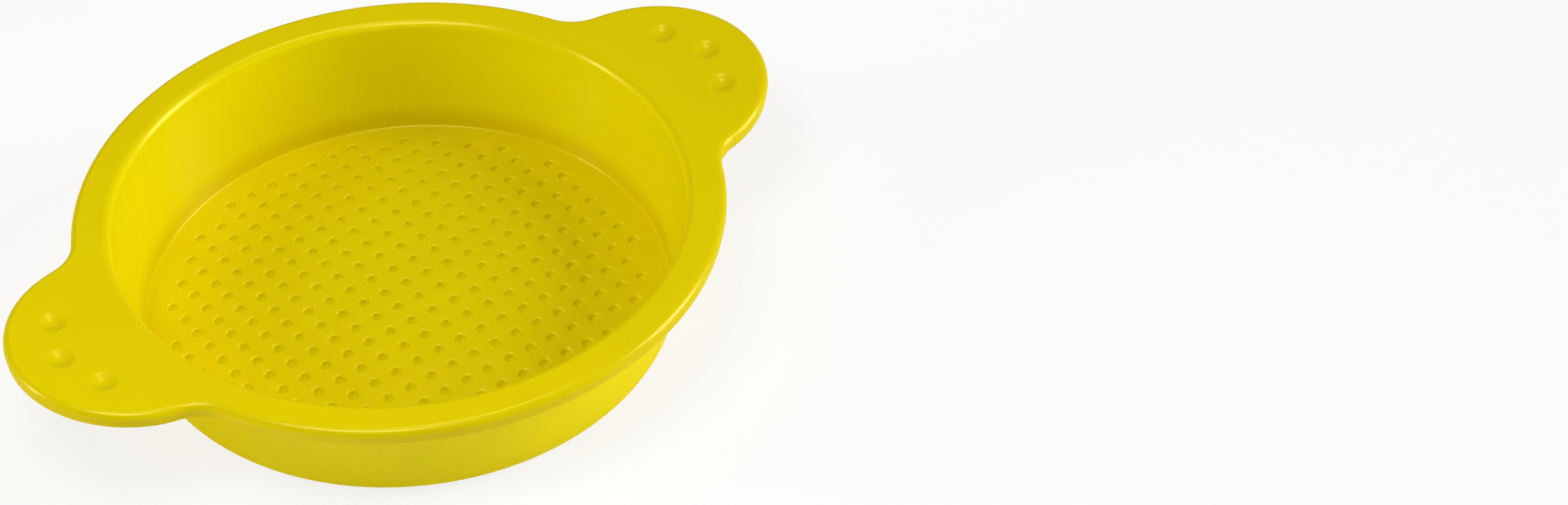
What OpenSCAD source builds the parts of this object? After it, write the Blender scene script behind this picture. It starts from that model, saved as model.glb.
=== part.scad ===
// Sand sieve: a round moulded bowl with a domed, pierced floor and two handles that tip up a little.
// Millimetres. +Z is up, X runs along the handles, and the origin is the middle of the resting face.

/* [Rim] */
// Outer diameter of the rim
rim_d = 170; // [120:1:220]
// Width of the rim, from its outer edge to where the mouth's rounding meets the wall
rim_w = 10.5; // [8:0.1:16]
// Thickness of the rim and the handles
flange_t = 1.8; // [1.2:0.1:2.4]
// Rounding of the rim's inner edge
lip_round = 2.5; // [1:0.1:3.2]
// Height of the turned-down edge
skirt_h = 4.4; // [2.8:0.1:8]
// Thickness of the turned-down edge
skirt_t = 2.4; // [2:0.1:2.8]
// Rounding of the turned-down edge's upper corner
edge_round = 1.9; // [0.3:0.1:2]

/* [Bowl] */
// Height from the resting face to the top of the rim
bowl_h = 35; // [25:0.5:60]
// How much further in the wall stands at the floor than at the mouth
wall_run = 5; // [2:0.1:12]
// Thickness of the wall, measured level
wall_t = 1.6; // [1.2:0.1:2.5]
// Height of the floor's upper face at the wall
floor_edge_h = 2.5; // [2:0.1:4]
// Rounding between the wall and the resting face
base_round = 4; // [2:0.1:4.6]
// Rounding inside, where the wall meets the floor
corner_round = 0.8; // [0.3:0.1:1.5]

/* [Sieve floor] */
// Thickness of the pierced floor
floor_t = 2.4; // [2:0.1:2.6]
// Rise of the floor from the wall to the middle
dome_h = 4.4; // [1:0.1:8]
// Width of the plain ring between the pierced floor and the wall
land_w = 3.9; // [3.4:0.1:8]
// Diameter of each hole at the floor's lower face
hole_d = 2; // [1.2:0.1:3]
// Diameter of a hole's funnel at the floor's upper face
funnel_d = 3.7; // [3.2:0.1:5.5]
// Depth of a hole's funnel
funnel_h = 1.8; // [0.6:0.1:1.9]
// Distance between neighbouring holes, along and across the handles
hole_pitch = 6.6; // [6:0.1:12]

/* [Handles] */
// How far a handle stands out from the rim
handle_out = 26; // [20:0.5:40]
// Diameter of a handle's round end
handle_d = 66; // [54:1:80]
// Radius of the curve that leads from the rim into a handle
neck_round = 12; // [6:0.5:20]
// Angle by which the handles tip up from the rim
handle_tilt = 5.5; // [0:0.5:10]

/* [Grip dimples] */
// Diameter of a dimple
dimple_d = 8.2; // [5:0.1:10]
// Depth of a dimple
dimple_h = 1; // [0.4:0.1:1.5]
// Distance from a handle's edge to the middle of each dimple
dimple_in = 12; // [8:0.5:14]
// Angle between neighbouring dimples
dimple_step = 40; // [30:1:50]

/* [Hidden] */
$fn = 128;
hole_fn = 24;
arc_steps = 10;
plastic = [0.89, 0.80, 0.02];
// How far a cutting shape runs past the face that it opens
overrun = floor_t / 2;

rim_r = rim_d / 2;
mouth_r = rim_r - rim_w;
floor_r = mouth_r - wall_run;
handle_r = handle_d / 2;
// Middle of a handle's round end, and of the ring that its dimples stand on
handle_reach = rim_r + handle_out - handle_r;
dimple_ring_r = handle_r - dimple_in;

// The wall leans outwards: its inner line runs from the floor's edge to the start of the mouth's rounding
lip_z = bowl_h - lip_round;
lean = (mouth_r - floor_r) / (lip_z - floor_edge_h);
lean_angle = atan(lean);
function wall_in(z) = floor_r + lean * (z - floor_edge_h);
function wall_out(z) = wall_in(z) + wall_t;

// The floor's upper face bulges upwards as a shallow parabola
dome_slope = atan(2 * dome_h / floor_r);
function floor_top(r) = floor_edge_h + dome_h * (1 - r * r / (floor_r * floor_r));

// Where one region of the moulding ends and the next starts
floor_split_r = floor_r - land_w;
base_top = base_round + corner_round;
wall_top = lip_z - flange_t;
flange_z = bowl_h - flange_t;
skirt_z = bowl_h - skirt_h;
lip_out_r = mouth_r + lip_round + wall_t;

// Middles of the roundings in the bowl's section
base_mid = [wall_out(base_round) - base_round / cos(lean_angle), base_round];
lip_mid = [mouth_r + lip_round / cos(lean_angle), lip_z];
corner_angle = 90 + lean_angle - dome_slope;
corner_way = [sin(lean_angle) - cos(dome_slope), cos(lean_angle) + sin(dome_slope)];
corner_mid = [floor_r, floor_edge_h] + corner_way / norm(corner_way) * corner_round / sin(corner_angle / 2);

// Middle of the curve that touches both the rim and a handle's round end
rim_to_neck = rim_r + neck_round;
end_to_neck = handle_r + neck_round;
neck_lead = rim_to_neck * rim_to_neck - end_to_neck * end_to_neck;
neck_x = (neck_lead / handle_reach + handle_reach) / 2;
neck_y = sqrt(rim_to_neck * rim_to_neck - neck_x * neck_x);
rim_touch = atan2(neck_y, neck_x);
end_touch = atan2(neck_y, neck_x - handle_reach);
// The filling under the neck curves stops this far short of where they touch
touch_play = 1.2;
rim_fill = rim_touch - touch_play / rim_r * 180 / PI;
end_fill = end_touch + touch_play / handle_r * 180 / PI;
// The handles meet the rim in flat faces at this distance from the axis
joint_x = max(rim_r, handle_reach + handle_r * cos(end_touch));

// Holes fill a square grid with one hole in the middle, as far out as their funnels clear the plain ring
field_r = floor_split_r - funnel_d / 2;
field_steps = floor(field_r / hole_pitch);
hole_spots = [
    for (i = [-field_steps:field_steps], j = [-field_steps:field_steps])
        if (norm([i, j]) * hole_pitch <= field_r) [i, j] * hole_pitch
];

// The dome is laid out in flat cells, one round each place in the grid, so that every hole sits in a flat
cells = ceil(floor_split_r / hole_pitch);
cell_lines = [for (k = [-cells:cells + 1]) (k - 1 / 2) * hole_pitch];
last_line = len(cell_lines) - 1;

// The dimple's ball, and the ball below it that keeps the plate as thick under the dimple as elsewhere
dimple_ball_r = (dimple_d * dimple_d / 4 + dimple_h * dimple_h) / (2 * dimple_h);
dimple_ball_z = bowl_h + dimple_ball_r - dimple_h;

function arc(mid, r, from, to) = [
    for (i = [0:arc_steps]) let (a = from + (to - from) * i / arc_steps) mid + r * [cos(a), sin(a)]
];

// One hole with its funnel, standing on the height where the funnel opens
module hole_cut() {
    spread = (funnel_d - hole_d) / 2 / funnel_h * overrun;
    rotate_extrude($fn = hole_fn)
        polygon([
            [0, -floor_t - overrun],
            [hole_d / 2, -floor_t - overrun],
            [hole_d / 2, -funnel_h],
            [funnel_d / 2 + spread, overrun],
            [0, overrun],
        ]);
}

// Domed plate, wider than the floor: two layers of the same cells and the four sides between them
module dome_plate() {
    line_count = len(cell_lines);
    function at(layer, i, j) = (layer * line_count + j) * line_count + i;
    steps = [0:last_line - 1];
    polyhedron(
        [
            for (drop = [0, floor_t], y = cell_lines, x = cell_lines)
                [x, y, floor_top(norm([x, y])) - drop]
        ],
        concat(
            [for (i = steps, j = steps) [at(0, i, j), at(0, i, j + 1), at(0, i + 1, j + 1), at(0, i + 1, j)]],
            [for (i = steps, j = steps) [at(1, i, j), at(1, i + 1, j), at(1, i + 1, j + 1), at(1, i, j + 1)]],
            [for (i = steps) [at(0, i, 0), at(0, i + 1, 0), at(1, i + 1, 0), at(1, i, 0)]],
            [for (i = steps, j = last_line) [at(0, i + 1, j), at(0, i, j), at(1, i, j), at(1, i + 1, j)]],
            [for (j = steps) [at(0, 0, j + 1), at(0, 0, j), at(1, 0, j), at(1, 0, j + 1)]],
            [for (j = steps, i = last_line) [at(0, i, j), at(0, i, j + 1), at(1, i, j + 1), at(1, i, j)]]
        )
    );
}

// Domed floor, pierced by the grid of funnelled holes
module sieve_floor() {
    color(plastic)
    difference() {
        intersection() {
            dome_plate();
            cylinder(h = bowl_h, r = floor_split_r);
        }
        for (spot = hole_spots)
            translate([spot.x, spot.y, floor_top(norm(spot))]) hole_cut();
    }
}

// Foot of the bowl: the flat ring it rests on, the plain edge of the floor and the rounded corner
module base_ring() {
    color(plastic)
    rotate_extrude()
        polygon(concat(
            [[floor_split_r, 0]],
            arc(base_mid, base_round, -90, -lean_angle),
            [[wall_out(base_top), base_top], [wall_in(base_top), base_top]],
            arc(corner_mid, corner_round, -lean_angle, -90 - dome_slope),
            [[floor_split_r, floor_top(floor_split_r)]]
        ));
}

// Plain leaning wall between the foot and the rim
module bowl_wall() {
    color(plastic)
    rotate_extrude()
        polygon([
            [wall_in(base_top), base_top],
            [wall_out(base_top), base_top],
            [wall_out(wall_top), wall_top],
            [wall_in(wall_top), wall_top],
        ]);
}

// Fills the corners between the rim and the handle on the +X side as far as the neck curves, less an inset
module neck_fill(inset) {
    on_rim = (rim_r - inset) * [cos(rim_fill), sin(rim_fill)];
    on_end = [handle_reach, 0] + (handle_r - inset) * [cos(end_fill), sin(end_fill)];
    polygon([[0, 0], on_rim, on_end, [on_end.x, -on_end.y], [on_rim.x, -on_rim.y]]);
}

// Outline of the rim with the round ends of both handles and the curves between them, drawn in by an inset
module plan(inset) {
    circle(rim_r - inset);
    for (turn = [0, 180])
        rotate(turn) {
            translate([handle_reach, 0]) circle(handle_r - inset);
            difference() {
                neck_fill(inset);
                for (way = [-1, 1])
                    translate([neck_x, way * neck_y]) circle(neck_round + inset);
            }
        }
}

// Flat rim with its rounded mouth, wide enough at the sides to take the handles
module rim_flange() {
    color(plastic)
    union() {
        rotate_extrude()
            polygon(concat(
                [[wall_out(flange_z), flange_z], [wall_out(wall_top), wall_top]],
                [[wall_in(wall_top), wall_top]],
                arc(lip_mid, lip_round, 180 - lean_angle, 90),
                [[lip_out_r, bowl_h], [lip_out_r, flange_z]]
            ));
        translate([0, 0, flange_z])
            linear_extrude(flange_t)
                difference() {
                    intersection() {
                        plan(skirt_t);
                        square([2 * joint_x, rim_d], center = true);
                    }
                    circle(lip_out_r - wall_t / 2);
                }
    }
}

// A disc as high as the turned-down edge, with its upper corner rounded
module edge_disc(r) {
    rotate_extrude()
        polygon(concat(
            [[0, skirt_z], [r, skirt_z]],
            arc([r - edge_round, bowl_h - edge_round], edge_round, 0, 90),
            [[0, bowl_h]]
        ));
}

// Cuts the curve beside a handle: upright below, and flared at the top to round the corner that it leaves
module neck_cut() {
    flare_r = neck_round + edge_round;
    rotate_extrude()
        polygon(concat(
            [[0, skirt_z - overrun], [neck_round, skirt_z - overrun]],
            arc([flare_r, bowl_h - edge_round], edge_round, 180, 90),
            [[flare_r, bowl_h + overrun], [0, bowl_h + overrun]]
        ));
}

// Corners beside the handle on the +X side, as high as the turned-down edge and with its rounding
module edge_necks() {
    difference() {
        translate([0, 0, skirt_z])
            linear_extrude(skirt_h) neck_fill(0);
        for (way = [-1, 1])
            translate([neck_x, way * neck_y, 0]) neck_cut();
    }
}

// Turned-down edge of the rim on the +Y side, with the necks that lead to both handles
module edge_band() {
    intersection() {
        difference() {
            union() {
                edge_disc(rim_r);
                for (turn = [0, 180])
                    rotate([0, 0, turn]) {
                        translate([handle_reach, 0, 0]) edge_disc(handle_r);
                        edge_necks();
                    }
            }
            translate([0, 0, skirt_z - overrun])
                linear_extrude(skirt_h + 2 * overrun) plan(skirt_t);
        }
        translate([-joint_x, 0, 0]) cube([2 * joint_x, rim_d, 2 * bowl_h]);
    }
}

module back_edge() {
    color(plastic) edge_band();
}

module front_edge() {
    color(plastic) rotate([0, 0, 180]) edge_band();
}

// Tips its children up about the line along which the handle on the +X side meets the rim
module tip_up() {
    translate([joint_x, 0, bowl_h])
        rotate([0, -handle_tilt, 0])
            translate([-joint_x, 0, -bowl_h])
                children();
}

// Places its children at the three dimples of the handle on the +X side
module at_dimples() {
    for (i = [-1:1])
        translate([handle_reach, 0, dimple_ball_z])
            rotate([0, 0, i * dimple_step])
                translate([dimple_ring_r, 0, 0])
                    children();
}

// Space below the handle's plate, inside its turned-down edge, without the low bumps that the dimples make
module handle_hollow() {
    difference() {
        translate([handle_reach, 0, skirt_z - overrun])
            cylinder(h = flange_z - skirt_z + overrun, r = handle_r - skirt_t);
        at_dimples() sphere(dimple_ball_r + flange_t);
    }
}

// Handle on the +X side: a plate with a turned-down edge and three dimples for the fingers
module handle() {
    intersection() {
        tip_up()
            difference() {
                translate([handle_reach, 0, 0]) edge_disc(handle_r);
                handle_hollow();
                at_dimples() sphere(dimple_ball_r);
            }
        translate([joint_x, -handle_r, 0]) cube([handle_d, handle_d, 2 * bowl_h]);
    }
}

module right_handle() {
    color(plastic) handle();
}

module left_handle() {
    color(plastic) rotate([0, 0, 180]) handle();
}

sieve_floor();
base_ring();
bowl_wall();
rim_flange();
front_edge();
back_edge();
left_handle();
right_handle();
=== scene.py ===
# %% [markdown]
# # A yellow sand sieve
# The object is a toy sieve, moulded in one shot of yellow plastic: a bowl with a pierced floor, a
# flat rim and two handles. This lesson dresses the CAD frame of that sieve for a picture. Every
# visible piece is a mesh made from the moulding's own sizes, so that roundings too small for the
# solids still catch the light.

from math import acos, atan, atan2, cos, degrees, hypot, pi, radians, sin, sqrt

import bmesh
import bpy
from mathutils import Matrix, Vector
from mathutils.geometry import delaunay_2d_cdt


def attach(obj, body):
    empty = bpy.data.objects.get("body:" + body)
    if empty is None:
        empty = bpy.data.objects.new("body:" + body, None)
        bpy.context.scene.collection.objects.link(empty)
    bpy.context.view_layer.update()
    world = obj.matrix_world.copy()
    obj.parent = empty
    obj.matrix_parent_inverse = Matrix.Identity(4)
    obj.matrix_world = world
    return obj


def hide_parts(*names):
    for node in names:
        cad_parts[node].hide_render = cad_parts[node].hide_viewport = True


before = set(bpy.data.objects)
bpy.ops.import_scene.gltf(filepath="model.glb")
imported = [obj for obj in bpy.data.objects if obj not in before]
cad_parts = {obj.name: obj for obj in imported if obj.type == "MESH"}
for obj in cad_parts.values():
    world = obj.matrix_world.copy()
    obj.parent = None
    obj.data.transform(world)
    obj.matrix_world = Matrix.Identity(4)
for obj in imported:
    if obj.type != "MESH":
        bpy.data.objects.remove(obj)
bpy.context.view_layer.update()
bpy.context.scene.view_settings.view_transform = "Standard"
print("nodes:", sorted(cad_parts))

# %% [markdown]
# ## Sizes
# The sizes are the moulding's own, in millimetres, turned into Blender's metres once at the start.
# The wall leans outwards along one straight line, and the floor is a shallow dome, so both are
# written as small functions that any piece can ask for a radius or a height.

# %% Sizes of the bowl
MM = 0.001

bowl_h = 35 * MM
floor_r = 69.5 * MM
mouth_r = 74.5 * MM
wall_t = 1.6 * MM
floor_edge_h = 2.5 * MM
base_round = 4 * MM
corner_round = 0.8 * MM
floor_t = 2.4 * MM
dome_h = 4.4 * MM
land_w = 3.9 * MM
flange_t = 1.8 * MM
lip_round = 2.5 * MM

lip_z = bowl_h - lip_round
lean = (mouth_r - floor_r) / (lip_z - floor_edge_h)
lean_angle = atan(lean)
floor_split_r = floor_r - land_w
base_top = base_round + corner_round
wall_top = lip_z - flange_t
flange_z = bowl_h - flange_t


def wall_in(z):
    return floor_r + lean * (z - floor_edge_h)


def wall_out(z):
    return wall_in(z) + wall_t


def floor_top(r):
    return floor_edge_h + dome_h * (1 - (r / floor_r) ** 2)


print(f"wall leans {degrees(lean_angle):.1f} degrees, floor rises to {floor_top(0) / MM:.1f} mm")

# %% Sizes of the rim, its edge and the handles
rim_r = 85 * MM
skirt_h = 4.4 * MM
skirt_t = 2.4 * MM
skirt_draft = 0.4 * MM
edge_round = 1.9 * MM
hem_round = 0.5 * MM
handle_reach = 78 * MM
handle_r = 33 * MM
neck_round = 12 * MM
handle_tilt = radians(5.5)
skirt_z = bowl_h - skirt_h

rim_to_neck = rim_r + neck_round
end_to_neck = handle_r + neck_round
neck_x = (rim_to_neck**2 - end_to_neck**2 + handle_reach**2) / (2 * handle_reach)
neck_y = sqrt(rim_to_neck**2 - neck_x**2)
rim_touch = atan2(neck_y, neck_x)
end_touch = atan2(neck_y, neck_x - handle_reach)
joint_x = max(rim_r, handle_reach + handle_r * cos(end_touch))
print(f"flat handles reach {(handle_reach + handle_r) / MM:.1f} mm")
print(f"necks touch the rim at {degrees(rim_touch):.1f} degrees")

# %% [markdown]
# ## Lofting rings into a skin
# Bowl, rim and edge are all the same idea: a closed section that travels round. So one helper
# takes a list of rings with equally many points and joins each ring to the next with quads. Flat
# stretches beside a rounding get a support ring close to the arc, which keeps the smooth shading
# of the arc from bleeding over the flat face.

# %% Helpers for arcs, lofts and finished pieces
ARC_STEPS = 8
SHARP = radians(40)
WELD = 0.001 * MM


def arc(mid, r, start, end, steps=ARC_STEPS):
    """Points on an arc from one angle to another, both ends included."""
    step = (end - start) / steps
    angles = [start + step * i for i in range(steps + 1)]
    return [(mid[0] + r * cos(a), mid[1] + r * sin(a)) for a in angles]


def ring_quads(a, b, n):
    """Quads between two rings of n points, whose first points have the numbers a and b."""
    return [(a + i, a + (i + 1) % n, b + (i + 1) % n, b + i) for i in range(n)]


def loft(rings):
    """Closed skin through rings of equally many points; the last ring joins the first."""
    n = len(rings[0])
    points = [p for ring in rings for p in ring]
    faces = []
    for k in range(len(rings)):
        faces += ring_quads(k * n, (k + 1) % len(rings) * n, n)
    return points, faces


def add_piece(name, node, points, faces):
    """Makes and shades the mesh with outward faces, hangs it on the root and hides its CAD node.
    """
    mesh = bpy.data.meshes.new(name)
    mesh.from_pydata(points, [], faces)
    work = bmesh.new()
    work.from_mesh(mesh)
    bmesh.ops.remove_doubles(work, verts=work.verts, dist=WELD)
    bmesh.ops.recalc_face_normals(work, faces=work.faces)
    open_edges = sum(not e.is_manifold for e in work.edges)
    work.to_mesh(mesh)
    work.free()
    piece = bpy.data.objects.new(name, mesh)
    bpy.context.scene.collection.objects.link(piece)
    mesh.shade_smooth()
    mesh.set_sharp_from_angle(angle=SHARP)
    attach(piece, "root")
    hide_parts(node)
    counts = f"{len(mesh.vertices)} points, {len(mesh.polygons)} faces"
    print(f"{name}: {counts}, {open_edges} open edges")
    return piece


# %% [markdown]
# ## Light through thin plastic
# Yellow polypropylene lets some light through, so hole walls, the bowl's wall and its lip are
# never as dark as solid paint would be. Tracing that light inside the plastic is slow and noisy.
# Instead each point of a mesh carries a share of light, stored as an attribute, and the material
# turns that share into a paler yellow.


# %% Helper that stores the share of light
def ramp(value, start, end):
    """Share of the way from start to end, never below 0 or above 1."""
    return min(1, max(0, (value - start) / (end - start)))


def shine_through(piece, share_at):
    """Stores how much light the plastic lets through at each point, for the material to read."""
    marks = piece.data.attributes.new("shine_through", "FLOAT", "POINT")
    for vertex, mark in zip(piece.data.vertices, marks.data):
        mark.value = share_at(*vertex.co)
    print(f"{piece.name}: shares of light on {len(marks.data)} points")


# %% [markdown]
# ## The outline of rim and handles
# Seen from above, the sieve is one smooth outline: rim, neck curve, round handle end, neck curve,
# rim. All its arcs touch, so a copy drawn inwards is the same arcs with other radii. Each copy has
# equally many points in the same order, which lets the turned-down edge, the rim and the handles
# share their border points exactly, with no hairline gap.

# %% Outline drawn in by an inset
RIM_STEPS = 96
NECK_STEPS = 12
END_STEPS = 64
SHORT_STEPS = 3
JOINT_STEPS = 24
BEND_ROWS = 4
BEND_HALF = 4 * MM
bend_rows = [joint_x + BEND_HALF * k / BEND_ROWS for k in range(BEND_ROWS + 1)]


def end_angle(x, inset):
    """Where an upright line at x meets a handle's round end."""
    return acos((x - handle_reach) / (handle_r - inset))


def end_outline(inset):
    """Round end of the handle on the +X side, from one end of its joint to the other.

    The first and the last few points lie in the rows of the bend.
    """
    rows = [end_angle(x, inset) for x in bend_rows]
    angles = [-a for a in rows[:-1]]
    angles += [rows[-1] * (2 * i / END_STEPS - 1) for i in range(END_STEPS + 1)]
    angles += rows[-2::-1]
    end_r = handle_r - inset
    return [(handle_reach + end_r * cos(a), end_r * sin(a)) for a in angles]


def side_outline(inset):
    """Neck, rim and neck on the +Y side, from the right handle's joint to the left one's."""
    end_r, neck_r = handle_r - inset, neck_round + inset
    half = arc((handle_reach, 0), end_r, end_angle(joint_x, inset), end_touch, SHORT_STEPS)[:-1]
    half += arc((neck_x, neck_y), neck_r, pi + end_touch, pi + rim_touch, NECK_STEPS)[:-1]
    rim = arc((0, 0), rim_r - inset, rim_touch, pi - rim_touch, RIM_STEPS)
    return half + rim + [(-x, y) for x, y in reversed(half)]


print(f"outline: {len(end_outline(0))} points round a handle, {len(side_outline(0))} along a side")

# %% [markdown]
# ## The bend into the handles
# The handles tip up a little, which keeps the fingers off the sand. A hard crease would show as a
# line, so the plate bends along a short arc: before the bend a point stays, past it the point has
# turned about the joint by the full angle, and in between it follows the arc. Each point keeps its
# depth below the upper face.

# %% Bend
bend_r = 2 * BEND_HALF / handle_tilt


def bent(points):
    """Points of the flat moulding, carried along by the bend at both joints."""
    out = []
    for x, y, z in points:
        along = abs(x) - joint_x
        past = max(0, along - BEND_HALF)
        turned = handle_tilt * ramp(along, -BEND_HALF, BEND_HALF)
        run = min(along, -BEND_HALF) + bend_r * sin(turned) + past * cos(turned)
        rise = bend_r * (1 - cos(turned)) + past * sin(turned)
        depth = bowl_h - z
        far = joint_x + run + depth * sin(turned)
        out.append((far if x > 0 else -far, y, bowl_h + rise - depth * cos(turned)))
    return out


def half_turn(points):
    """The same points, turned half round the bowl's axis."""
    return [(-x, -y, z) for x, y, z in points]


tip = bent([(handle_reach + handle_r, 0, bowl_h)])[0]
print(f"handle tip at {tip[0] / MM:.2f} mm, {tip[2] / MM:.2f} mm high")

# %% [markdown]
# ## The turned-down edge
# Rim and handles end in a low skirt that stiffens the moulding and feels soft in the hand. Its
# section has a round upper corner, a face that leans in by a hair, so that the part leaves its
# mould, and a slightly rounded hem. Each corner of the section becomes one line of the outline at
# its own inset and height. The skirt of the rim comes in two lengths, one in front and one behind;
# a handle has its own.

# %% Section of the turned-down edge
SUPPORT = 0.12 * MM
HEM_STEPS = 4
hem_arc = arc((0, skirt_z + hem_round), hem_round, -pi / 2, 0, HEM_STEPS)
crest_arc = arc((0, bowl_h - edge_round), edge_round, 0, pi / 2)
edge_section = (
    [(skirt_draft + hem_round - x, z) for x, z in hem_arc]
    + [(skirt_draft, skirt_z + hem_round + SUPPORT), (0, bowl_h - edge_round - SUPPORT)]
    + [(edge_round - x, z) for x, z in crest_arc]
    + [(edge_round + SUPPORT, bowl_h), (skirt_t, bowl_h)]
)


def at_height(points, z):
    return [(x, y, z) for x, y in points]


def strips(lines):
    """Open skin through lines of equally many points."""
    n = len(lines[0])
    points = [p for line in lines for p in line]
    faces = []
    for k in range(len(lines) - 1):
        a, b = k * n, (k + 1) * n
        faces += [(a + i, a + i + 1, b + i + 1, b + i) for i in range(n - 1)]
    return points, faces


print(f"section of the edge: {len(edge_section)} points")

# %% Edges in front and behind
side_lines = [at_height(side_outline(i), z) for i, z in edge_section + [(skirt_t, skirt_z)]]
side_points, side_faces = strips(side_lines + side_lines[:1])
side_points = bent(side_points)
n_side = len(side_lines[0])
side_faces += [tuple(k * n_side + i for k in range(len(side_lines))) for i in (0, n_side - 1)]
back_edge = add_piece("sieve_edge_back", "back_edge", side_points, side_faces)
front_edge = add_piece("sieve_edge_front", "front_edge", half_turn(side_points), side_faces)

# %% [markdown]
# ## The rim
# The flat rim rolls over a round lip into the wall. Its outer border is the outline inside the
# skirt, cut off straight where the handles join, and every ring further in is a circle with its
# points on the same rays. That way one loft covers the round lip, the flat top and the underside.

# %% Borders of the rim
LIP_STEPS = 12
FLAT_STEPS = 4
joint_half = (handle_r - skirt_t) * sin(end_angle(joint_x, skirt_t))
joint_row = [(joint_x, joint_half * (2 * i / JOINT_STEPS - 1)) for i in range(JOINT_STEPS + 1)]
rim_border = joint_row[1:-1] + side_outline(skirt_t)
rim_border += [(-x, -y) for x, y in rim_border]
rays = [atan2(y, x) for x, y in rim_border]
lip_mid = (mouth_r + lip_round / cos(lean_angle), lip_z)


def circle(r, z):
    return [(r * cos(a), r * sin(a), z) for a in rays]


def rim_line(share, z):
    """Between the flat part's inner circle (share 0) and the rim's outer border (share 1)."""
    inner = lip_mid[0] + SUPPORT
    return [
        ((1 - share) * inner * cos(a) + share * x, (1 - share) * inner * sin(a) + share * y, z)
        for a, (x, y) in zip(rays, rim_border)
    ]


print(f"rim: {len(rays)} rays")

# %% Rim with its rounded mouth
IN_SHINE = 0.45
lip = arc(lip_mid, lip_round, pi - lean_angle, pi / 2, LIP_STEPS)
rim_section = [
    (wall_out(flange_z), flange_z),
    (wall_out(wall_top), wall_top),
    (wall_in(wall_top), wall_top),
    (lip[0][0] - SUPPORT * sin(lean_angle), lip[0][1] - SUPPORT * cos(lean_angle)),
]
rim_rings = [circle(r, z) for r, z in rim_section + lip]
rim_rings += [rim_line(k / FLAT_STEPS, bowl_h) for k in range(FLAT_STEPS + 1)]
rim_rings += [rim_line(1, flange_z)]
rim_points, rim_faces = loft(rim_rings)
rim_flange = add_piece("sieve_rim", "rim_flange", bent(rim_points), rim_faces)


def lip_shine(x, y, z):
    """None on the flat rim, and the full share from halfway down the lip."""
    if hypot(x, y) > lip_mid[0]:
        return 0
    return IN_SHINE * ramp(z, bowl_h, bowl_h - lip_round / 2)


shine_through(rim_flange, lip_shine)

# %% [markdown]
# ## Wall and foot
# Wall and foot are turned shapes, so their rings are plain circles on the rim's rays. Inside, the
# wall has the lip's own share of light, so that no seam shows, and it fades out at the foot, where
# the plastic is thick. The foot has a large rounding outside, where the bowl meets the ground, and
# a small one inside, where a thin line of light shows.

# %% Wall
OUT_SHINE = 0.4
shine_fade = 5 * MM
inner_heights = (wall_top, wall_top - shine_fade, base_top + shine_fade, base_top)
wall_section = [(wall_out(base_top), base_top), (wall_out(wall_top), wall_top)]
wall_section += [(wall_in(z), z) for z in inner_heights]
bowl_wall = add_piece("sieve_wall", "bowl_wall", *loft([circle(r, z) for r, z in wall_section]))


def wall_shine(x, y, z):
    """An even share outside, and one inside that fades out at the foot."""
    if hypot(x, y) > wall_in(z) + wall_t / 2:
        return OUT_SHINE
    return IN_SHINE * ramp(z, base_top, base_top + shine_fade)


shine_through(bowl_wall, wall_shine)

# %% Foot
dome_slope = atan(2 * dome_h / floor_r)
base_mid = (wall_out(base_round) - base_round / cos(lean_angle), base_round)
corner_way = Vector((sin(lean_angle) - cos(dome_slope), cos(lean_angle) + sin(dome_slope)))
corner_angle = pi / 2 + lean_angle - dome_slope
corner_reach = corner_way.normalized() * corner_round / sin(corner_angle / 2)
corner_mid = Vector((floor_r, floor_edge_h)) + corner_reach
foot_section = (
    [(floor_split_r, 0), (base_mid[0] - SUPPORT, 0)]
    + arc(base_mid, base_round, -pi / 2, -lean_angle)
    + [(wall_out(base_top), base_top), (wall_in(base_top), base_top)]
    + arc(corner_mid, corner_round, -lean_angle, -pi / 2 - dome_slope)
    + [(floor_split_r, floor_top(floor_split_r))]
)
base_ring = add_piece("sieve_foot", "base_ring", *loft([circle(r, z) for r, z in foot_section]))
shine_through(base_ring, wall_shine)

# %% [markdown]
# ## Sheets with round features
# The floor and the handle plates are sheets with many round features in them, holes or dimples.
# Cutting them with booleans would leave ragged shading. Instead each feature is a stack of neat
# rings, and a constrained triangulation fills the flat rest between the outermost rings and the
# border.

# %% Helper that fills the sheet between loops
INSIDE_ONLY = 1
NEARNESS = 1e-9


def fill_between(border, loops):
    """Triangles between a border and the loops inside it, numbered over border and loops."""
    points, edges, owner = [], [], []
    for k, loop in enumerate([border] + loops):
        first = len(points)
        points += [Vector(p) for p in loop]
        edges += [(first + i, first + (i + 1) % len(loop)) for i in range(len(loop))]
        owner += [k] * len(loop)
    _, _, triangles, source, _, _ = delaunay_2d_cdt(points, edges, [], INSIDE_ONLY, NEARNESS)
    old = [ids[0] for ids in source]
    triangles = [[old[v] for v in t] for t in triangles]
    return [t for t in triangles if owner[t[0]] == 0 or len({owner[v] for v in t}) > 1]


def ring_round(mid, r, steps):
    angles = [2 * pi * i / steps for i in range(steps)]
    return [(mid[0] + r * cos(a), mid[1] + r * sin(a)) for a in angles]


# %% [markdown]
# ## The pierced floor
# The holes stand on a square grid with one hole in the middle, and fill a circle. Each hole has a
# softly rolled mouth and a steep funnel that ends in a short throat, so that sand does not jam in
# it. All heights follow the dome, so the holes lie on it like the real ones.

# %% Places of the holes
hole_pitch = 6.6 * MM
hole_r = 1 * MM
funnel_r = 1.3 * MM
funnel_h = 1.8 * MM
mouth_roll = 0.6 * MM
HOLE_SHINE = 0.8
HOLE_STEPS = 24
ROLL_STEPS = 6
FUNNEL_STEPS = 4
hole_field_r = floor_split_r - funnel_r - mouth_roll
steps_out = int(hole_field_r / hole_pitch)
grid = [k * hole_pitch for k in range(-steps_out, steps_out + 1)]
hole_spots = [(x, y) for x in grid for y in grid if hypot(x, y) <= hole_field_r]
print(f"{len(hole_spots)} holes")

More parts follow.
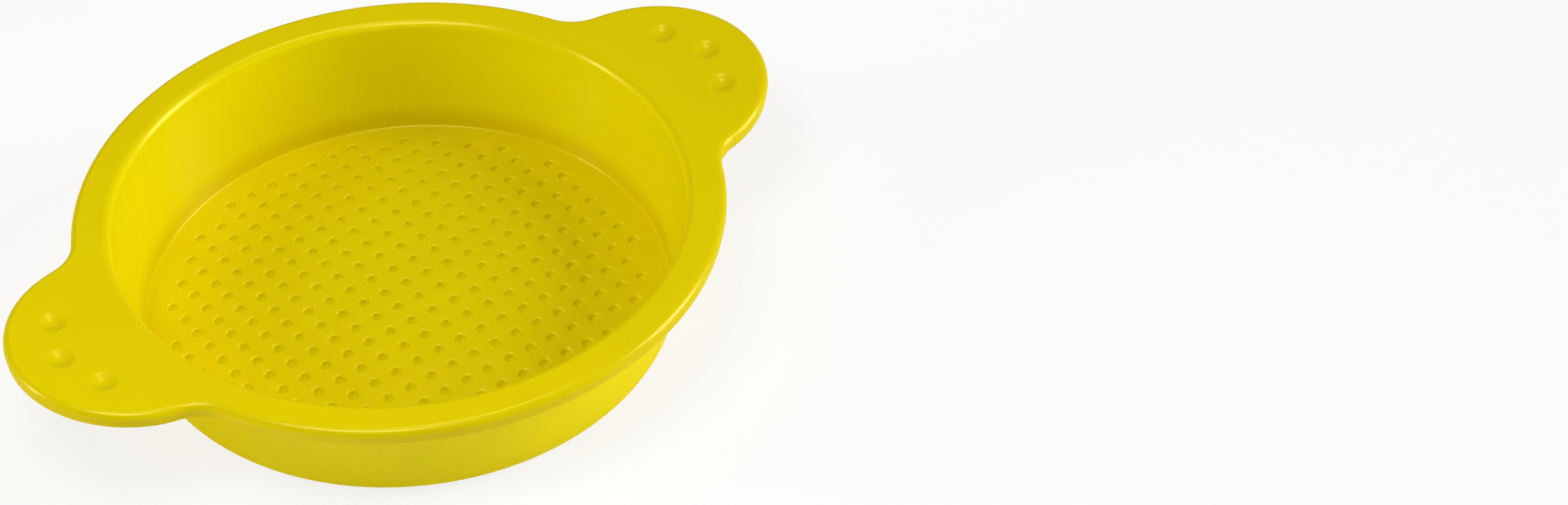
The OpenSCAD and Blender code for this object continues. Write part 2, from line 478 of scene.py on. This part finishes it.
# %% Section of a hole
throat = arc((funnel_r + mouth_roll, mouth_roll), mouth_roll, -pi / 2, -pi, ROLL_STEPS)
for k in range(1, FUNNEL_STEPS + 1):
    share = k / FUNNEL_STEPS
    depth = mouth_roll + (funnel_h - mouth_roll) * share
    throat.append((funnel_r + (hole_r - funnel_r) * share, depth))
throat.append((hole_r, floor_t))
print(f"section of a hole: {len(throat)} points")


# %% Floor sheet with holes
def on_floor(points, drop):
    return [(x, y, floor_top(hypot(x, y)) - drop) for x, y in points]


floor_border = [(floor_split_r * cos(a), floor_split_r * sin(a)) for a in rays]
floor_points = on_floor(floor_border, 0) + on_floor(floor_border, floor_t)
n_border = len(floor_border)
floor_faces = ring_quads(0, n_border, n_border)
top_ids, under_ids = list(range(n_border)), list(range(n_border, 2 * n_border))
for spot in hole_spots:
    starts = [len(floor_points) + k * HOLE_STEPS for k in range(len(throat))]
    for r, drop in throat:
        floor_points += on_floor(ring_round(spot, r, HOLE_STEPS), drop)
    for a, b in zip(starts, starts[1:]):
        floor_faces += ring_quads(a, b, HOLE_STEPS)
    top_ids += range(starts[0], starts[0] + HOLE_STEPS)
    under_ids += range(starts[-1], starts[-1] + HOLE_STEPS)
for ids, r in ((top_ids, throat[0][0]), (under_ids, hole_r)):
    hole_rings = [ring_round(spot, r, HOLE_STEPS) for spot in hole_spots]
    floor_faces += [tuple(ids[v] for v in t) for t in fill_between(floor_border, hole_rings)]
sieve_floor = add_piece("sieve_floor_sheet", "sieve_floor", floor_points, floor_faces)


def hole_shine(x, y, z):
    """More light the deeper a point lies below the dome, up to the throat."""
    return HOLE_SHINE * ramp(floor_top(hypot(x, y)) - z, 0, funnel_h)


shine_through(sieve_floor, hole_shine)

# %% [markdown]
# ## The handles
# Each handle is a flat plate with a skirt round its end and three dimples for the finger tips. A
# dimple is a shallow bowl whose rim runs out in a short rounding, so no hard circle shows. The
# plate keeps its thickness, so the dimples show as low bumps below. The handle is drawn flat on
# the +X side first and bent up at the end; half a turn makes the other one.

# %% Places and shape of the dimples
dimple_r = 4.1 * MM
dimple_h = 1 * MM
dimple_ring_r = 21 * MM
dimple_step = radians(40)
dimple_fade = 0.3 * MM
DIMPLE_STEPS = 40
DIMPLE_RINGS = 10
BOWL_SHARE = 0.62
dimple_reach = dimple_r + dimple_fade
dimple_spots = [
    (handle_reach + dimple_ring_r * cos(a), dimple_ring_r * sin(a))
    for a in (-dimple_step, 0, dimple_step)
]


def dimple_depth(share):
    """Depth from 1 in the middle to 0 at the rim: two parabolas that meet at BOWL_SHARE."""
    if share > BOWL_SHARE:
        return (1 - share) ** 2 / (1 - BOWL_SHARE)
    return 1 - share**2 / BOWL_SHARE


def dimple_rings(z):
    """Rings of each dimple from its rim to its middle, in a face at height z, with their faces."""
    points, faces = [], []
    for spot in dimple_spots:
        first = len(points)
        for k in range(DIMPLE_RINGS):
            share = 1 - k / DIMPLE_RINGS
            drop = dimple_h * dimple_depth(share)
            points += at_height(ring_round(spot, dimple_reach * share, DIMPLE_STEPS), z - drop)
        for k in range(DIMPLE_RINGS - 1):
            a = first + k * DIMPLE_STEPS
            faces += ring_quads(a, a + DIMPLE_STEPS, DIMPLE_STEPS)
        inner, middle = len(points) - DIMPLE_STEPS, len(points)
        points.append((*spot, z - dimple_h))
        faces += [(inner + i, inner + (i + 1) % DIMPLE_STEPS, middle) for i in range(DIMPLE_STEPS)]
    return points, faces


print(f"{len(dimple_spots)} dimples on each handle")


# %% Faces of the plate
def plate_face(z):
    """Upper or lower face of a plate.

    Rows run across the bend, and triangles fill the rest between the last row and the dimples.
    """
    points, faces = dimple_rings(z)
    spans = len(points) // len(dimple_spots)
    border = end_outline(skirt_t)
    rows = []
    for k in range(BEND_ROWS + 1):
        (x, low), (_, high) = border[k], border[-1 - k]
        rows.append([(x, low + (high - low) * i / JOINT_STEPS) for i in range(JOINT_STEPS + 1)])
    row_points, row_faces = strips([at_height(row, z) for row in rows])
    first = len(points)
    points += row_points
    faces += [tuple(first + v for v in face) for face in row_faces]

    round_end = border[BEND_ROWS:-BEND_ROWS]
    last_row = rows[-1][-2:0:-1]
    outer = round_end + last_row
    ids = list(range(len(points), len(points) + len(outer)))
    points += at_height(outer, z)
    for k in range(len(dimple_spots)):
        ids += range(k * spans, k * spans + DIMPLE_STEPS)
    loops = [ring_round(spot, dimple_reach, DIMPLE_STEPS) for spot in dimple_spots]
    faces += [tuple(ids[v] for v in t) for t in fill_between(outer, loops)]
    return points, faces


# %% Handles with skirt, plate and dimples
handle_points, handle_faces = [], []
skirt_section = [(skirt_t, flange_z), (skirt_t, skirt_z)] + edge_section
skirt_lines = [at_height(end_outline(i), z) for i, z in skirt_section]
skirt_end = [tuple(range(len(skirt_lines)))]
for points, faces in (
    plate_face(bowl_h),
    plate_face(flange_z),
    strips(skirt_lines),
    strips([at_height(joint_row, bowl_h), at_height(joint_row, flange_z)]),
    ([line[0] for line in skirt_lines], skirt_end),
    ([line[-1] for line in skirt_lines], skirt_end),
):
    first = len(handle_points)
    handle_points += points
    handle_faces += [tuple(first + v for v in face) for face in faces]
handle_points = bent(handle_points)
right_handle = add_piece("sieve_handle_right", "right_handle", handle_points, handle_faces)
left_points = half_turn(handle_points)
left_handle = add_piece("sieve_handle_left", "left_handle", left_points, handle_faces)

# %% [markdown]
# ## The plastic
# The sieve is coloured through, so one material covers it. Real mouldings are never quite even:
# the pigment drifts a little, the polish of the mould varies, and a faint ripple stays from the
# flow. Three noise textures at those three scales drive colour, roughness and bump. The stored
# shares of light mix the pigment with a paler yellow.

# %% Helpers for nodes
NOISE_LOW = 0.3
NOISE_HIGH = 0.7


def noise(nodes, links, where, scale, detail):
    tex = nodes.new("ShaderNodeTexNoise")
    tex.inputs["Scale"].default_value = scale
    tex.inputs["Detail"].default_value = detail
    links.new(where, tex.inputs["Vector"])
    return tex.outputs["Fac"]


def spread(nodes, links, value, low, high):
    """Stretches the range that most of a noise lies in to the range from low to high."""
    stretch = nodes.new("ShaderNodeMapRange")
    stretch.inputs["From Min"].default_value = NOISE_LOW
    stretch.inputs["From Max"].default_value = NOISE_HIGH
    stretch.inputs["To Min"].default_value = low
    stretch.inputs["To Max"].default_value = high
    links.new(value, stretch.inputs["Value"])
    return stretch.outputs["Result"]


def blend(nodes, links, share, first, second):
    """Colour between two others, each of them a colour or the output of a node."""
    mix = nodes.new("ShaderNodeMix")
    mix.data_type = "RGBA"
    links.new(share, mix.inputs["Factor"])
    for colour, socket in ((first, "A"), (second, "B")):
        if isinstance(colour, tuple):
            mix.inputs[socket].default_value = colour
        else:
            links.new(colour, mix.inputs[socket])
    return mix.outputs["Result"]


# %% Yellow plastic
DARK_PIGMENT = (0.735, 0.575, 0, 1)
LIGHT_PIGMENT = (0.755, 0.6, 0, 1)
LIT_PLASTIC = (0.98, 0.9, 0, 1)
GLOSS_TINT = (1, 0.95, 0.3, 1)
DRIFT_SCALE = 45
POLISH_SCALE = 90
RIPPLE_SCALE = 700
ROUGHNESS = (0.2, 0.24)
RIPPLE_STRENGTH = 0.06
RIPPLE_DEPTH = 0.1 * MM


def yellow_plastic():
    material = bpy.data.materials.new("yellow_plastic")
    material.use_nodes = True
    nodes, links = material.node_tree.nodes, material.node_tree.links
    shader = nodes["Principled BSDF"]
    where = nodes.new("ShaderNodeTexCoord").outputs["Object"]

    drift = spread(nodes, links, noise(nodes, links, where, DRIFT_SCALE, detail=3), 0, 1)
    pigment = blend(nodes, links, drift, DARK_PIGMENT, LIGHT_PIGMENT)
    light = nodes.new("ShaderNodeAttribute")
    light.attribute_name = "shine_through"
    colour = blend(nodes, links, light.outputs["Fac"], pigment, LIT_PLASTIC)
    links.new(colour, shader.inputs["Base Color"])

    polish = noise(nodes, links, where, POLISH_SCALE, detail=4)
    links.new(spread(nodes, links, polish, *ROUGHNESS), shader.inputs["Roughness"])

    ripple = nodes.new("ShaderNodeBump")
    ripple.inputs["Strength"].default_value = RIPPLE_STRENGTH
    ripple.inputs["Distance"].default_value = RIPPLE_DEPTH
    links.new(noise(nodes, links, where, RIPPLE_SCALE, detail=2), ripple.inputs["Height"])
    links.new(ripple.outputs["Normal"], shader.inputs["Normal"])

    shader.inputs["IOR"].default_value = 1.49
    shader.inputs["Specular IOR Level"].default_value = 0.4
    shader.inputs["Specular Tint"].default_value = GLOSS_TINT
    return material


plastic = yellow_plastic()
rim_pieces = (back_edge, front_edge, rim_flange, right_handle, left_handle)
bowl_pieces = (bowl_wall, base_ring, sieve_floor)
for piece in rim_pieces + bowl_pieces:
    piece.data.materials.append(plastic)
print("material:", plastic.name)

# %% [markdown]
# ## The floor of the studio
# A pale sheet lies under the sieve and runs far past the picture, so no edge of it shows. It takes
# the soft shadow. For rays from the camera most of it glows in plain white, as overexposed paper
# does. Under the bowl and in mirrors it glows yellow instead: painted yellow light under the bowl,
# where the plastic tints what light gets through, and a painted yellow reflection in the gloss. A
# weaker glow, for diffuse rays alone, lights the wall from below, as a bright table would.

# %% Paper
WHITE = (1, 1, 1, 1)
PAPER_GREY = (0.93, 0.93, 0.93, 1)
# Colour of the glow: painted yellow light under the bowl and a painted yellow reflection in the
# gloss.
YELLOW_GLOW = (0.85, 0.63, 0, 1)


def calculate(nodes, links, operation, first, second):
    """One step of arithmetic on two outputs of nodes; the second may be a plain number."""
    step = nodes.new("ShaderNodeMath")
    step.operation = operation
    links.new(first, step.inputs[0])
    if isinstance(second, float):
        step.inputs[1].default_value = second
    else:
        links.new(second, step.inputs[1])
    return step.outputs["Value"]


def pale_paper(glow_share, bounce):
    material = bpy.data.materials.new("pale_paper")
    material.use_nodes = True
    nodes, links = material.node_tree.nodes, material.node_tree.links
    matt = nodes["Principled BSDF"]
    matt.inputs["Base Color"].default_value = PAPER_GREY
    matt.inputs["Roughness"].default_value = 0.9

    ray = nodes.new("ShaderNodeLightPath").outputs
    matt.inputs["Emission Color"].default_value = WHITE
    bounced = calculate(nodes, links, "MULTIPLY", ray["Is Diffuse Ray"], bounce)
    links.new(bounced, matt.inputs["Emission Strength"])

    away = nodes.new("ShaderNodeVectorMath")
    away.operation = "LENGTH"
    links.new(nodes.new("ShaderNodeTexCoord").outputs["Object"], away.inputs["Vector"])
    outside = calculate(nodes, links, "GREATER_THAN", away.outputs["Value"], floor_split_r)
    white = calculate(nodes, links, "MULTIPLY", outside, ray["Is Camera Ray"])
    glow = nodes.new("ShaderNodeEmission")
    # White for the camera away from the bowl; painted yellow light under it and painted yellow
    # reflection in mirrors.
    links.new(blend(nodes, links, white, YELLOW_GLOW, WHITE), glow.inputs["Color"])

    seen = calculate(nodes, links, "MAXIMUM", ray["Is Camera Ray"], ray["Is Glossy Ray"])
    seen = calculate(nodes, links, "MAXIMUM", seen, ray["Is Transmission Ray"])
    mix = nodes.new("ShaderNodeMixShader")
    links.new(calculate(nodes, links, "MULTIPLY", seen, glow_share), mix.inputs["Fac"])
    links.new(matt.outputs["BSDF"], mix.inputs[1])
    links.new(glow.outputs["Emission"], mix.inputs[2])
    links.new(mix.outputs["Shader"], nodes["Material Output"].inputs["Surface"])
    return material


# %% Studio floor
PAPER_SIZE = 6

bpy.ops.mesh.primitive_plane_add(size=PAPER_SIZE)
studio_floor = bpy.context.object
studio_floor.name = "studio_floor"
studio_floor.data.materials.append(pale_paper(glow_share=0.8, bounce=0.25))
print("studio floor with", studio_floor.data.materials[0].name)

# %% [markdown]
# ## Camera
# The camera looks down on the sieve from in front, turned a little to one side and slightly
# rolled. It is placed by its angles and its distance from the middle of the mouth; the lens is a
# telephoto. The sieve stands in the left half of a wide picture, so the lens is shifted by a
# quarter of the picture's width.

# %% Camera
IMAGE_W = 2254
SENSOR = 36
LENS_SHIFT = 0.25
focal_px = 4953.98
view_turn = radians(27.914)
view_down = radians(41.454)
view_roll = radians(-6.532)
view_distance = 890.79 * MM
side_offset = 1.143 * MM
lift_offset = 13.238 * MM
mouth_mid = Vector((0, 0, bowl_h))

turn = Matrix.Rotation(-view_turn, 3, "Z")
forward = turn @ Vector((0, cos(view_down), -sin(view_down)))
level = turn @ Vector((1, 0, 0))
upright = level.cross(forward)
right = level * cos(view_roll) + upright * sin(view_roll)
up = upright * cos(view_roll) - level * sin(view_roll)
eye = mouth_mid - right * side_offset - up * lift_offset - forward * view_distance

camera_data = bpy.data.cameras.new("camera")
camera_data.sensor_width = SENSOR
camera_data.lens = focal_px * SENSOR / IMAGE_W
camera_data.shift_x = LENS_SHIFT
camera = bpy.data.objects.new("camera", camera_data)
bpy.context.scene.collection.objects.link(camera)
camera.matrix_world = Matrix((
    (right.x, up.x, -forward.x, eye.x),
    (right.y, up.y, -forward.y, eye.y),
    (right.z, up.z, -forward.z, eye.z),
    (0, 0, 0, 1),
))
bpy.context.scene.camera = camera
print(f"lens {camera_data.lens:.1f} mm")

# %% [markdown]
# ## Light
# Soft studio light: a tall soft box on either side, the right one stronger, models the bowl and
# draws thin highlights on its lips. A small lamp above and in front makes the near side a little
# brighter than the far one, a weak one hangs overhead, and a dim world keeps the shadows open. Two
# cards show in mirrors alone: one behind lends the flat faces a faint sheen, which hollows lack,
# and a small one above puts a spark in the dimples. All look at the middle of the mouth. Places
# and sizes are in metres.


# %% Helpers for lamps
def from_view(across, away, above):
    """A place to the camera's right, away from it and above the ground, in the sieve's frame."""
    return turn @ Vector((across, away, above))


def soft_lamp(name, place, width, height, power):
    data = bpy.data.lights.new(name, "AREA")
    data.shape = "RECTANGLE"
    data.size = width
    data.size_y = height
    data.energy = power
    lamp = bpy.data.objects.new(name, data)
    bpy.context.scene.collection.objects.link(lamp)
    lamp.location = place
    lamp.rotation_euler = (mouth_mid - place).to_track_quat("-Z", "Y").to_euler()
    print(f"{name}: {power} W")
    return lamp


def mirror_card(name, place, width, height, power, colour):
    """A lamp that lights nothing and only shows in the gloss."""
    card = soft_lamp(name, place, width, height, power)
    card.visible_diffuse = False
    card.data.color = colour


# %% Lamps and world
SHEEN = (1, 0.92, 0)
SPARK = (1, 0.95, 0.5)
WORLD_LIGHT = 0.05

soft_lamp("right_box", from_view(1.9, 0, 0.85), width=0.8, height=1.4, power=33)
soft_lamp("left_box", from_view(-1.9, 0, 0.72), width=0.4, height=1, power=13.5)
soft_lamp("near_lamp", from_view(-0.12, -0.2, 0.6), width=0.3, height=0.3, power=2.25)
soft_lamp("overhead_lamp", from_view(0, 0.1, 1.2), width=0.8, height=0.8, power=0.3)
back_place, top_place = from_view(0, 1.12, 1.03), from_view(0.05, 0.15, 0.55)
mirror_card("back_card", back_place, width=1, height=0.8, power=1.2, colour=SHEEN)
mirror_card("top_card", top_place, width=0.15, height=0.15, power=0.45, colour=SPARK)

world = bpy.data.worlds.new("dim_room")
world.use_nodes = True
world.node_tree.nodes["Background"].inputs["Color"].default_value = WHITE
world.node_tree.nodes["Background"].inputs["Strength"].default_value = WORLD_LIGHT
bpy.context.scene.world = world
